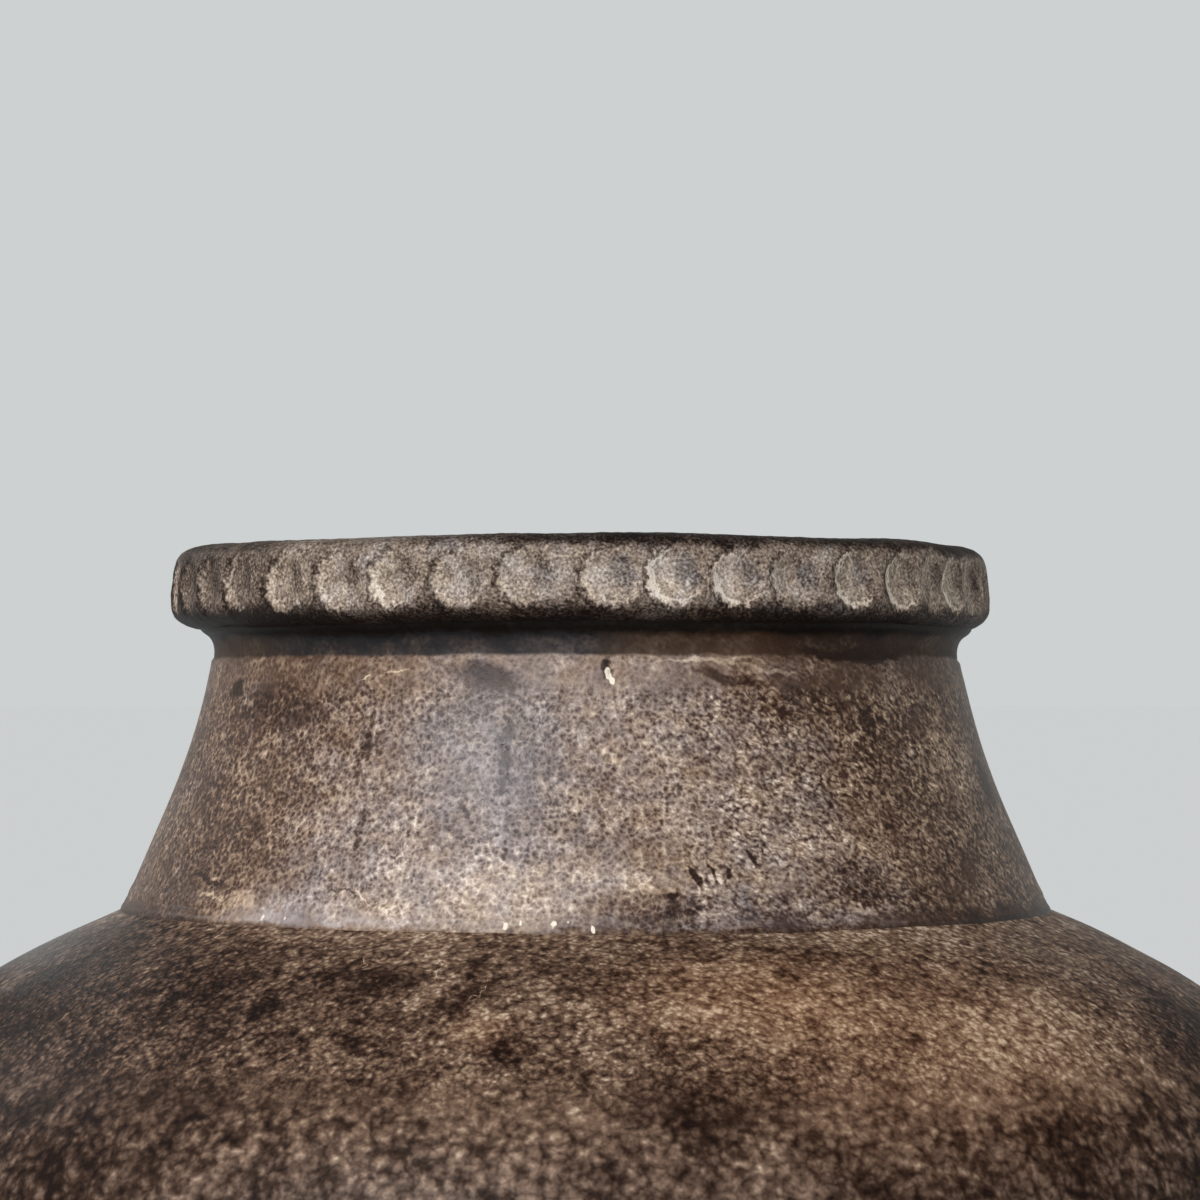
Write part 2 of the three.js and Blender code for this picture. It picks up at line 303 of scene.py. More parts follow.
def store_print_places(rim):
    """Stores where each face lies in its nearest print, in print radii, and how pale that print is."""
    mesh = rim.data
    places = mesh.uv_layers.new(name="print_place")
    paleness = mesh.attributes.new("print_paleness", "FLOAT", "FACE")
    for face in mesh.polygons:
        degrees = math.degrees(math.atan2(face.center.x, -face.center.y))
        print_degrees, level, pale = min(PRINTS, key=lambda mark: abs(difference(degrees, mark[0])))
        outer = face.center.xy.length > RIM_RADIUS - PRINTED_FACE
        paleness.data[face.index].value = pale if outer else 0
        for corner in face.loop_indices:
            spot = mesh.vertices[mesh.loops[corner].vertex_index].co
            turn = difference(math.degrees(math.atan2(spot.x, -spot.y)), print_degrees)
            across = math.radians(turn) * RIM_RADIUS / PRINT_RADIUS
            places.data[corner].uv = (across, (spot.z - level) / PRINT_RADIUS if outer else FAR_OFF)


def neck_point(radius, up, corner=False):
    """A point of an outline, from its mm from the axis and over the crease."""
    return (radius * MM - SWELL_ROOM, CREASE_LEVEL + up * MM, corner)


def make_neck():
    foot = [neck_point(133, -3, True)]
    face = [neck_point(radius, up, up in LEDGE) for radius, up in reversed(NECK_FACE)]
    bore = [
        neck_point(114, 82.5, True), neck_point(101, 82.5, True), neck_point(101, 71),
        neck_point(104.6, 54.5), neck_point(110.4, 37), neck_point(117.8, 19.5), neck_point(126, 0, True),
    ]
    neck = turned("neck_wall", [*foot, *face, *bore], 400, 6)
    chip_glaze(neck)
    hand_made(neck)
    swell(neck, 22 * MM, 0.16 * MM)
    return neck


def chip_glaze(neck):
    """Breaks a small notch out of the throat's edge, once the faces there are cut finer."""
    notch = around(NOTCH_TURN, NOTCH_RADIUS, NOTCH_LEVEL)
    edit(neck)
    mesh = bmesh.from_edit_mesh(neck.data)
    bpy.ops.mesh.select_all(action="DESELECT")
    for vertex in mesh.verts:
        vertex.select = (vertex.co - notch).length < NOTCH_SIZE
    mesh.select_flush_mode()
    bpy.ops.mesh.subdivide(number_cuts=3)
    inwards = around(NOTCH_TURN, -1, 0)
    for rise, depth in NOTCH_PRESSES:
        press(mesh, notch + Vector((0, 0, rise * MM)), inwards * depth * MM, 1.5 * MM, "SHARP")
    leave_edit()


def make_shoulder():
    outer = belly_points(BELLY_LEVEL - LAP, CREASE_LEVEL, SWELL_ROOM, 6)
    bore = NECK_FOOT_RADIUS - WALL
    inner = belly_points(BELLY_LEVEL - LAP, shoulder_level(bore, WALL), WALL, 4)
    shoulder = turned("shoulder", [*outer, (bore, CREASE_LEVEL, True), *reversed(inner)], 360, 8)
    hand_made(shoulder)
    return shoulder


def make_bowl():
    outer = belly_points(FLOOR_TOP - LAP, BELLY_LEVEL, SWELL_ROOM, 6)
    inner = belly_points(FLOOR_TOP - LAP, BELLY_LEVEL, WALL, 5)
    bowl = turned("bowl", [*outer, *reversed(inner)], 300, 10)
    hand_made(bowl)
    return bowl


def make_seam_bead():
    edge = 136.3
    level = (shoulder_level((edge + 0.5) * MM, SWELL_ROOM) - CREASE_LEVEL) / MM - 0.5
    outline = [
        neck_point(131, level, True), neck_point(edge, level, True), neck_point(135.8, 0.2),
        neck_point(135.1, 1.2), neck_point(134.5, 2.4), neck_point(133, 4.4, True), neck_point(131, 3, True),
    ]
    bead = turned("neck_seam", outline, 360, 6)
    hand_made(bead)
    swell(bead, 14 * MM, 0.2 * MM)
    return bead


def make_foot_ring():
    inside = FOOT_RADIUS - FOOT_WIDTH
    outside = FOOT_RADIUS - FOOT_FLARE
    round_off = 2.6 * MM  # where the rounding of the standing edges starts
    middle = 0.7 * MM  # where its middle lies
    outline = [
        (inside + round_off, 0, True), (outside - round_off, 0, True), (outside - middle, middle, False),
        (outside, round_off, False), (FOOT_RADIUS, FOOT_TOP, True), (inside, FOOT_TOP + LAP, True),
        (inside, round_off, False), (inside + middle, middle, False),
    ]
    return turned("foot", outline, 240, 5)


def make_floor():
    outline = [
        (0, FOOT_TOP, True), (FOOT_RADIUS, FOOT_TOP - LAP, True), (FLOOR_RADIUS, FLOOR_TOP, True),
        (0, FLOOR_TOP, True),
    ]
    return turned("pot_floor", outline, 240, 4)


def make_floor_coil():
    corner = belly_radius(FLOOR_TOP, WALL)
    outline = [
        (corner, FLOOR_TOP - LAP, True), (corner + 7 * MM, FLOOR_TOP + 9 * MM, True),
        (corner - 1 * MM, FLOOR_TOP + 4 * MM, False), (corner - 9 * MM, FLOOR_TOP, True),
    ]
    return turned("corner_coil", outline, 240, 5)


def make_belly_coil():
    wall = BELLY_RADIUS - WALL
    outline = [
        (wall + LAP, BELLY_LEVEL - 12 * MM, True), (wall + LAP, BELLY_LEVEL + 12 * MM, True),
        (wall - 3.2 * MM, BELLY_LEVEL + 6 * MM, False), (wall - 4.6 * MM, BELLY_LEVEL, False),
        (wall - 3.2 * MM, BELLY_LEVEL - 6 * MM, False),
    ]
    return turned("seam_coil", outline, 240, 5)


def linear(code):
    """An sRGB hex colour as linear red, green, blue and alpha."""
    parts = [int(code[i:i + 2], 16) / 255 for i in (1, 3, 5)]
    return (*[p / 12.92 if p <= 0.04045 else ((p + 0.055) / 1.055) ** 2.4 for p in parts], 1)


# The settings of a Map Range that eases in and out and stays within its ends
EASED = {"interpolation_type": "SMOOTHSTEP", "clamp": False}


def add(tree, kind, settings=None, inputs=None, output=0, stops=()):
    """Adds a shader node and gives the output asked for. An input is a value or another node's output. A
    colour stop is (place, sRGB code), and the two ends of the ramp come first."""
    node = tree.nodes.new("ShaderNode" + kind)
    for name, value in (settings or {}).items():
        setattr(node, name, value)
    for name, value in (inputs or {}).items():
        if isinstance(value, bpy.types.NodeSocket):
            tree.links.new(value, node.inputs[name])
        else:
            node.inputs[name].default_value = value
    for i, (place, code) in enumerate(stops):
        stop = node.color_ramp.elements[i] if i < 2 else node.color_ramp.elements.new(place)
        stop.position = place
        stop.color = linear(code)
    return node.outputs[output]


def grain(tree, place, layers, total):
    """Sums noise of several sizes round a starting value. A layer is (mm, weight, detail, distortion)."""
    for size, weight, detail, distortion in layers:
        noise = add(tree, "TexNoise", None, {
            "Vector": place, "Scale": 1 / (size * MM), "Detail": detail, "Roughness": 0.6,
            "Distortion": distortion,
        })
        centred = add(tree, "Math", {"operation": "SUBTRACT"}, {0: noise, 1: 0.5})
        total = add(tree, "Math", {"operation": "MULTIPLY_ADD"}, {0: centred, 1: weight, 2: total})
    return total


def wandered(tree, spot, place, size, reach):
    """A spot, pushed about by noise of a size in mm, so that what is drawn with it gets an uneven edge."""
    noise = add(tree, "TexNoise", None, {
        "Vector": place, "Scale": 1 / (size * MM), "Detail": 2,
    }, output="Color")
    push = add(tree, "VectorMath", {"operation": "SUBTRACT"}, {0: noise, 1: (0.5, 0.5, 0.5)})
    return add(tree, "VectorMath", {"operation": "MULTIPLY_ADD"}, {0: push, 1: reach, 2: spot})


def ragged(tree, place, size, reach):
    """The same place, pushed about by up to half the reach in mm."""
    return wandered(tree, place, place, size, (reach * MM,) * 3)


def pits(tree, place, size):
    """Rounded cells of a size in mm: below 0 at their middles and above 0 at the borders between them."""
    cells = add(tree, "TexVoronoi", None, {"Vector": place, "Scale": 1 / (size * MM)}, output="Distance")
    return add(tree, "Math", {"operation": "SUBTRACT"}, {0: cells, 1: 0.55})


def drawn_out(tree, place, degrees, lean, length):
    """The same place, stretched along strokes in the jar's face at an angle, which lean to the right."""
    turn = Matrix.Rotation(math.radians(degrees), 3, "Z") @ Matrix.Rotation(math.radians(lean), 3, "Y")
    return add(tree, "Mapping", {"vector_type": "TEXTURE"}, {
        "Vector": place, "Rotation": turn.to_euler("XYZ"), "Scale": (length, 1, 1),
    })


def along(tree, place, axis, start, end):
    """0 to 1 between two places along X or Y, in mm."""
    reach = add(tree, "SeparateXYZ", None, {0: place}, output=axis)
    return add(tree, "MapRange", EASED, {
        "Value": reach, "From Min": start * MM, "From Max": end * MM,
    })


def above(tree, place, up, soft):
    """0 below a height over the crease in mm, growing to 1 over `soft`."""
    height = add(tree, "SeparateXYZ", None, {0: place}, output="Z")
    return add(tree, "MapRange", EASED, {
        "Value": height, "From Min": CREASE_LEVEL + up * MM, "From Max": CREASE_LEVEL + (up + soft) * MM,
    })


def face_at(up):
    """Radius and slope (outwards per unit down) of the jar's face at a height over the crease in mm."""
    if up < 0:
        level = CREASE_LEVEL + up * MM
        return belly_radius(level), (belly_radius(level - MM) - belly_radius(level + MM)) / (2 * MM)
    for (upper_radius, upper), (lower_radius, lower) in zip(NECK_FACE, NECK_FACE[1:]):
        if up >= lower:
            return upper_radius * MM, (lower_radius - upper_radius) / (upper - lower)
    return NECK_FOOT_RADIUS, 1


def marks(tree, place, rows, fade=0.35, thick=12):
    """How strongly the marks in a list show here. A row is (degrees from the front, mm over the crease, mm
    wide, mm high, strength, degrees that it leans to the right). Each is an ellipsoid that lies in the jar's
    face."""
    total = 0.0
    for degrees, up, wide, high, strength, lean in rows:
        radius, slope = face_at(up)
        turn = (
            Matrix.Rotation(math.radians(degrees), 3, "Z") @ Matrix.Rotation(math.atan(slope), 3, "X")
            @ Matrix.Rotation(math.radians(lean), 3, "Y")
        )
        local = add(tree, "Mapping", {"vector_type": "TEXTURE"}, {
            "Vector": place, "Location": around(degrees, radius, CREASE_LEVEL + up * MM),
            "Rotation": turn.to_euler("XYZ"),
            "Scale": (wide / 2 * MM, max(thick, wide / 3) * MM, high / 2 * MM),
        })
        far = add(tree, "VectorMath", {"operation": "LENGTH"}, {0: local}, output="Value")
        here = add(tree, "MapRange", EASED, {
            "Value": far, "From Min": 1, "From Max": fade, "To Max": strength,
        })
        total = add(tree, "Math", {"operation": "ADD"}, {0: total, 1: here})
    return total


def weigh(tree, total, *parts):
    """Adds each (mask, weight) to a starting value. A weight can be a mask too."""
    for mask, weight in parts:
        total = add(tree, "Math", {"operation": "MULTIPLY_ADD"}, {0: mask, 1: weight, 2: total})
    return total


def new_material(name):
    material = bpy.data.materials.new(name)
    material.use_nodes = True
    return material, material.node_tree


def fire(tree, colour, roughness, height, relief, gloss=0.3, wet=0.0, wet_roughness=0.4):
    """Sends colour, roughness, height with its relief in metres, and a glassy top layer to the shader."""
    shader = tree.nodes["Principled BSDF"]
    bump = add(tree, "Bump", None, {"Height": height, "Distance": relief, "Strength": 1})
    tree.links.new(colour, shader.inputs["Base Color"])
    tree.links.new(roughness, shader.inputs["Roughness"])
    tree.links.new(bump, shader.inputs["Normal"])
    tree.links.new(bump, shader.inputs["Coat Normal"])
    shader.inputs["Specular IOR Level"].default_value = gloss
    shader.inputs["Coat Roughness"].default_value = wet_roughness
    if wet:
        tree.links.new(wet, shader.inputs["Coat Weight"])


def mix_colour(tree, factor, first, second):
    return add(tree, "Mix", {"data_type": "RGBA"}, {0: factor, 6: first, 7: second}, output=2)


def spread(tree, level, low, high):
    """A number that goes from `low` in the dark glaze to `high` in the palest flecks."""
    return add(tree, "MapRange", None, {
        "Value": level, "From Min": 0.2, "From Max": 0.8, "To Min": low, "To Max": high,
    })


# Where the neck's glaze is stained dark, is sooty, is rubbed pale, shines, and is chipped to cream, in the
# rows of marks(). Some rows paint light and shade: the black at the notch's top is a painted shadow, the
# shine rows and the two pale rubs along the seam's left are a painted highlight, and the small white dots on
# the seam's left are painted glints.
NECK_STAINS = (
    (-30.8, 46, 4, 32, 0.2, 6), (-28.8, 24, 4, 30, 0.22, -4), (-10.4, 42, 5, 40, 0.2, 0),
    (-9.6, 22, 2, 10, 0.3, 0), (-15.4, 31.7, 7, 2.4, 0.3, 40), (13.1, 13.7, 2.3, 6.8, 0.6, -35),
    (15.4, 14.2, 1.7, 7, 0.5, -35), (17.5, 14.4, 2, 3.8, 0.45, -40), (20.7, 16.9, 1.8, 4.6, 0.45, -40),
    (10, 10.4, 8, 2, 0.45, -8), (10.1, 6.3, 5, 6, 0.2, 0), (12.3, 4, 5, 8, 0.2, 0),
    (32.6, 40.4, 2.2, 2.6, 0.4, 0), (32.9, 33.2, 1.8, 6.4, 0.32, -25), (34, 11, 40, 15, 0.16, 5),
    (34.5, 9.6, 14, 9, 0.18, 0), (42, 27, 10, 3, 0.28, 30), (43, 54, 7, 22, 0.22, 0),
    (24, 42, 5, 14, 0.12, -25), (73, 36, 16, 20, 0.25, 0), (7, 6, 50, 9, 0.15, 0),
    (-52, 12, 30, 1.6, 0.35, 2), (23, 5.5, 60, 10, 0.14, 0), (42, 6, 50, 10, 0.12, 0),
    (-30, 10.6, 16, 1.2, 0.3, 10), (21, 66, 26, 5, 0.26, 10), (44, 71.8, 62, 2.6, 0.45, 0),
    (-14, 66, 30, 9, 0.2, 10), (-50, 58, 50, 16, 0.14, 0), (30, 60, 50, 20, 0.12, 0),
    (3, 67.6, 4.4, 6.6, 0.35, -12), (-61.6, 63, 11, 6, 0.4, 0), (-13, 50, 60, 60, 0.06, 0),
)
# Soot rows; the last, the black at the top of the throat's notch, is a painted shadow in the chip.
NECK_SOOT_AND_SHADOW = (
    (-14, 67.5, 24, 7, 0.3, 12), (-61.6, 63, 10, 6, 0.6, 0), (-14, 60, 20, 8, 0.16, 20),
    (10, 62, 20, 6, 0.12, -12), (-9.8, 38, 5, 30, 0.18, 0), (3.2, 70.1, 3.6, 3, 1, 0),
)
# Pale rubs; the last two rows, along the seam at the front-left, are a painted highlight on the glossy bead.
NECK_RUBS = (
    (18, 70.8, 40, 1.4, 0.25, 0), (27, 68.4, 24, 1.4, 0.2, 6), (-27.8, 68.2, 12, 1, 0.28, -4),
    (-32.4, 65.6, 5, 1, 0.35, -20), (-50, 9.2, 32, 1.2, 0.4, 0), (-26, 9, 14, 0.9, 0.35, 24),
    (-6, 11, 110, 18, 0.14, 0), (62, 40, 44, 50, 0.16, 0), (-25, 1, 60, 5, 0.14, 0),
    (-43, 2, 44, 5, 0.2, 0),
)
# Where the glaze shines: a glossier top layer, and a painted highlight that makes its colour cooler and
# calmer, on the front-left and along the seam's bead.
NECK_GLOSS_AND_HIGHLIGHT = ((-13, 42, 70, 70, 0.3, 0), (-38, 2, 50, 12, 0.4, 0))
# Chipped to cream; the five small white dots on the seam's left, 42 to 28 degrees left of the front, are
# painted glints.
CHIPS = (
    (3.3, 67.3, 2.2, 4.2, 1, -8), (3.8, 65.2, 1.7, 2.6, 1, -25), (-14.4, 2.4, 2, 1, 1, 0),
    (-8.8, 1, 1.6, 1, 1, 0), (-7.1, 1.6, 1, 0.9, 1, 0), (-4.9, 3.6, 1, 1.8, 1, -30),
    (-3.4, 1.6, 2.2, 1.5, 1, 0), (-1.8, 1.9, 1, 1.2, 0.8, 0), (1, 0.2, 1.6, 1, 1, 20),
    (32, 8.6, 2.6, 0.9, 1, -35), (-42, 2.4, 0.9, 0.6, 0.8, 0), (-40, 1.5, 1.5, 0.7, 0.9, 0),
    (-38.2, 2.1, 0.8, 0.8, 0.8, 0), (-36.6, 1.3, 1, 0.6, 0.8, 0), (-28, 1.8, 1, 0.6, 0.6, 0),
)

# The same for the shoulder, and where its glaze burnt to a redder brown
SHOULDER_STAINS = (
    (-10.4, -7, 8, 10, 0.18, 0), (-10.9, -16, 12, 12, 0.22, 0), (-38.5, -19.5, 9, 10, 0.28, 0),
    (-28.6, -18.3, 10, 10, 0.28, 20), (-19, -11, 14, 10, 0.18, 20), (-22, -12, 40, 20, 0.1, 0),
    (-35, -12, 60, 30, 0.1, 0), (-5.6, -26.3, 14, 13, 0.25, 0), (8, -40, 44, 18, 0.15, 0),
    (36.7, -52, 44, 22, 0.08, 0), (45.7, -46.6, 6, 16, 0.16, 0), (-58, -24, 70, 60, 0.1, 0),
    (40, -58, 110, 50, 0.18, 0), (62, -30, 70, 60, 0.2, 0), (22, -62, 60, 30, 0.08, 0),
)
SHOULDER_RUBS = (
    (14, -14, 90, 40, 0.06, 0), (30, -28, 90, 40, 0.05, 0), (44, -20, 50, 36, 0.05, 0),
    (-21, -47, 50, 26, 0.04, 0), (-21.7, -7.2, 0.7, 9, 0.4, 10), (-9.6, -13.2, 0.6, 12, 0.4, -35),
    (-14, -9, 0.5, 12, 0.25, 20),
)
SHOULDER_BURNS = ((14, -14, 110, 56, 0.55, 0), (30, -24, 190, 90, 0.6, 0), (-8, -22, 30, 30, 0.4, 0))

# The glaze's colours, from its dark pits to its palest flecks: cool or cream on the neck, brown on the
# shoulder, mauve lower down, redder where it burnt, and on the rim, which is greyer, warm or cool
COOL = (
    (0.1, "#271e1e"), (0.95, "#d7ccc6"), (0.32, "#4b403f"),
    (0.48, "#726766"), (0.64, "#928684"), (0.8, "#b1a5a1"),
)
CREAM = (
    (0.1, "#2b1910"), (0.95, "#e2cdb6"), (0.32, "#523c2f"),
    (0.48, "#7c6554"), (0.64, "#9d8671"), (0.8, "#bda58d"),
)
BROWN = (
    (0.1, "#190d08"), (0.95, "#bda994"), (0.32, "#36251c"),
    (0.48, "#544034"), (0.64, "#725a49"), (0.8, "#957f6b"),
)
MAUVE = (
    (0.1, "#1c100d"), (0.95, "#b8a492"), (0.32, "#39291f"),
    (0.48, "#56443a"), (0.64, "#745f52"), (0.8, "#947d6d"),
)
BURNT = (
    (0.1, "#26140c"), (0.95, "#cba98a"), (0.32, "#4f3323"),
    (0.48, "#6d4d38"), (0.64, "#8b6a51"), (0.8, "#a9886b"),
)
HANDLED_WARM = (
    (0.08, "#17100d"), (0.96, "#e2d4c4"), (0.26, "#3a2e27"),
    (0.42, "#62544a"), (0.58, "#8b7b6e"), (0.76, "#b7a695"),
)
HANDLED_COOL = (
    (0.08, "#151213"), (0.96, "#d9d3d1"), (0.26, "#35302f"),
    (0.42, "#5b5555"), (0.58, "#837d7c"), (0.76, "#ada6a5"),
)

# The soot in the throat, from the jar's left to its right, and the bare clay, from dark to pale
SMOKE = (
    (0.03, "#35271d"), (0.97, "#2e1e14"), (0.07, "#1d1e21"),
    (0.5, "#222327"), (0.58, "#36281e"), (0.76, "#442e1f"),
    (0.86, "#281a12"),
)
CLAY = ((0.15, "#5e3a26"), (0.9, "#b98e6c"), (0.45, "#80543a"), (0.7, "#996c4d"))


def neck_glaze():
    """An iron-brown glaze, rubbed back while soft: cream ridges of 1 to 2 mm round dark pits, drawn out into
    slanting strokes on the right. It is palest at the front, in patches of cool mauve and of cream, and is
    made darker and browner round the sides as painted shade. Where the light's highlight falls it has a
    glossier top layer, and its colour is smoother and cooler there as a painted highlight. Soot, which is
    matt, stays in the throat, deepened to near-black at the top, under the band, by painted shade, and the
    glaze pooled wet over the seam at the crease, paler on the front-left as a painted highlight."""
    material, tree = new_material("rubbed_iron_glaze")
    place = add(tree, "TexCoord", output="Object")
    loose = ragged(tree, ragged(tree, place, 9, 5), 1.6, 1.6)
    slant = along(tree, place, "X", 0, 45)
    # Painted shade: the glaze is made darker and browner towards the sides, where the neck turns away from
    # the light.
    side = along(tree, place, "Y", -114, -84)
    right = along(tree, place, "X", -25, 30)
    left = along(tree, place, "X", -80, -125)
    throat = above(tree, ragged(tree, place, 14, 2), 71.6, 1.2)
    seam = weigh(tree, 1.0, (above(tree, loose, 1, 3.5), -1))
    # Painted highlight: where the key light's highlight falls, the colour is made cooler and calmer; the
    # glossier top layer there is real.
    gloss_and_painted_highlight = marks(tree, place, NECK_GLOSS_AND_HIGHLIGHT, fade=0)

    strokes = pits(tree, drawn_out(tree, ragged(tree, place, 4, 4), 35, 30, 2.8), 1.05)
    strokes = weigh(tree, 0.0, (slant, strokes))
    flecks = weigh(tree, 0.0, (pits(tree, ragged(tree, place, 2, 1.8), 1.5), 0.6), (strokes, -0.75))
    flecks = grain(tree, place, ((2.6, 0.76, 2, 0.8), (0.8, 0.52, 1, 0)), flecks)
    strength = weigh(
        tree, grain(tree, place, ((11, 1.2, 2, 0),), 0.75), (above(tree, loose, 4, 18), 0.13),
        (above(tree, loose, 60, 5), -0.4), (seam, -0.25), (gloss_and_painted_highlight, -0.6), (slant, -0.12),
    )
    flecks = weigh(tree, 0.0, (flecks, strength))
    # The seam's tone: paler from 80 to 25 mm left of the axis, a painted highlight on the glossy bead, and
    # darker to the right and the far left, where its glaze is dark.
    seam_tone_and_highlight = weigh(tree, 0.05, (right, -0.22), (left, -0.2))
    level = grain(tree, place, ((11, 0.36, 2, 0), (48, 0.3, 2, 0)), 0.55)
    level = weigh(
        tree, level, (flecks, 1), (side, -0.18), (seam, seam_tone_and_highlight), (marks(tree, loose, NECK_RUBS), 1),
        (marks(tree, loose, NECK_STAINS), -1),
    )

    cool = add(tree, "ValToRGB", None, {0: level}, stops=COOL)
    cream = add(tree, "ValToRGB", None, {0: level}, stops=CREAM)
    brown = add(tree, "ValToRGB", None, {0: level}, stops=BROWN)
    tint = weigh(
        tree, grain(tree, loose, ((7, 1.3, 2, 0.5), (26, 1, 2, 0)), 0.53), (side, 0.56), (right, 0.14),
        (above(tree, loose, 6, 24), -0.1), (gloss_and_painted_highlight, -1.1), (seam, -0.2),
    )
    glaze = mix_colour(tree, tint, cool, cream)
    glaze = mix_colour(tree, above(tree, loose, -0.8, 1.6), brown, glaze)
    # Soot in the throat, deepened towards the top, under the band, by painted shade; the notch's black top
    # is a painted shadow.
    soot_and_shade_share = weigh(tree, grain(tree, loose, ((8, 0.7, 2, 0),), 0.84), (above(tree, loose, 76, 3), 0.3))
    soot_and_shadow = weigh(tree, marks(tree, loose, NECK_SOOT_AND_SHADOW), (throat, soot_and_shade_share))
    soot_and_shadow = add(tree, "Math", {"operation": "MINIMUM"}, {0: soot_and_shadow, 1: 0.96})
    burnt = add(tree, "ValToRGB", None, {0: along(tree, loose, "X", -120, 120)}, stops=SMOKE)
    # Painted shade: near-black at the top of the throat, in the corner under the band.
    burnt = mix_colour(tree, above(tree, loose, 77, 2), burnt, linear("#080706"))
    glaze = mix_colour(tree, soot_and_shadow, glaze, burnt)
    chipped = marks(tree, ragged(tree, place, 1.2, 0.6), CHIPS, fade=0.7, thick=1.6)
    glaze = mix_colour(tree, chipped, glaze, linear("#e9dfce"))

    relief = grain(tree, place, ((0.7, 0.25, 1, 0),), flecks)
    wet = weigh(tree, 0.22, (soot_and_shadow, -0.25), (gloss_and_painted_highlight, 1))
    roughness = spread(tree, level, 0.5, 0.65)
    fire(tree, glaze, roughness, relief, 0.22 * MM, gloss=0.1, wet=wet, wet_roughness=0.34)
    return material


def belly_glaze():
    """The same glaze, thicker and less rubbed: tan pebbles of 2 mm between dark cracks, growing to 3 mm down
    the belly, burnt redder on one side, and polished at the far left. It stops in an uneven line over the
    foot, where the bare clay shows."""
    material, tree = new_material("mottled_iron_glaze")
    place = add(tree, "TexCoord", output="Object")
    loose = ragged(tree, ragged(tree, place, 12, 8), 3.5, 5)
    fired = marks(tree, loose, SHOULDER_BURNS, fade=0)
    low = weigh(tree, 1.0, (above(tree, loose, -75, 45), -1))

    def pebbled(scale):
        """Pebbles of 2 mm, times a scale, with their finer grain."""
        pebbles = pits(tree, ragged(tree, place, 3.6 * scale, 4.2 * scale), 2.1 * scale)
        layers = ((3.8 * scale, 0.75, 2, 0.8), (1.1 * scale, 0.55, 1, 0))
        return grain(tree, place, layers, weigh(tree, 0.0, (pebbles, -0.6)))

    flecks = add(tree, "Mix", {"data_type": "FLOAT"}, {
        0: above(tree, loose, -48, 18), 2: pebbled(1.6), 3: pebbled(1),
    })
    flecks = weigh(tree, 0.0, (flecks, weigh(tree, 1.0, (fired, -0.08), (low, -0.17))))
    level = grain(tree, place, ((14, 0.6, 2, 0), (60, 0.4, 2, 0)), 0.48)
    level = weigh(
        tree, level, (along(tree, place, "X", -30, -150), -0.16), (along(tree, place, "X", 10, 90), 0.04),
        (flecks, 1), (above(tree, loose, -7, 6), 0.1), (fired, 0.09), (low, -0.05),
        (marks(tree, loose, SHOULDER_RUBS), 1), (marks(tree, loose, SHOULDER_STAINS), -1),
    )
    brown = add(tree, "ValToRGB", None, {0: level}, stops=BROWN)
    mauve = add(tree, "ValToRGB", None, {0: level}, stops=MAUVE)
    burnt = add(tree, "ValToRGB", None, {0: level}, stops=BURNT)
    clay = add(tree, "ValToRGB", None, {0: level}, stops=CLAY)
    glaze = mix_colour(tree, fired, mix_colour(tree, low, brown, mauve), burnt)
    glazed = above(tree, ragged(tree, place, 30, 14), GLAZE_LINE, 2)
    glaze = mix_colour(tree, glazed, clay, glaze)

    polished = weigh(tree, 0.0, (along(tree, place, "X", -100, -160), above(tree, loose, -24, 14)))
    wet = weigh(tree, spread(tree, level, 0, 0.2), (polished, 0.6))
    roughness = spread(tree, level, 0.5, 0.65)
    fire(tree, glaze, roughness, flecks, 0.28 * MM, gloss=0.08, wet=wet, wet_roughness=0.32)
    return material


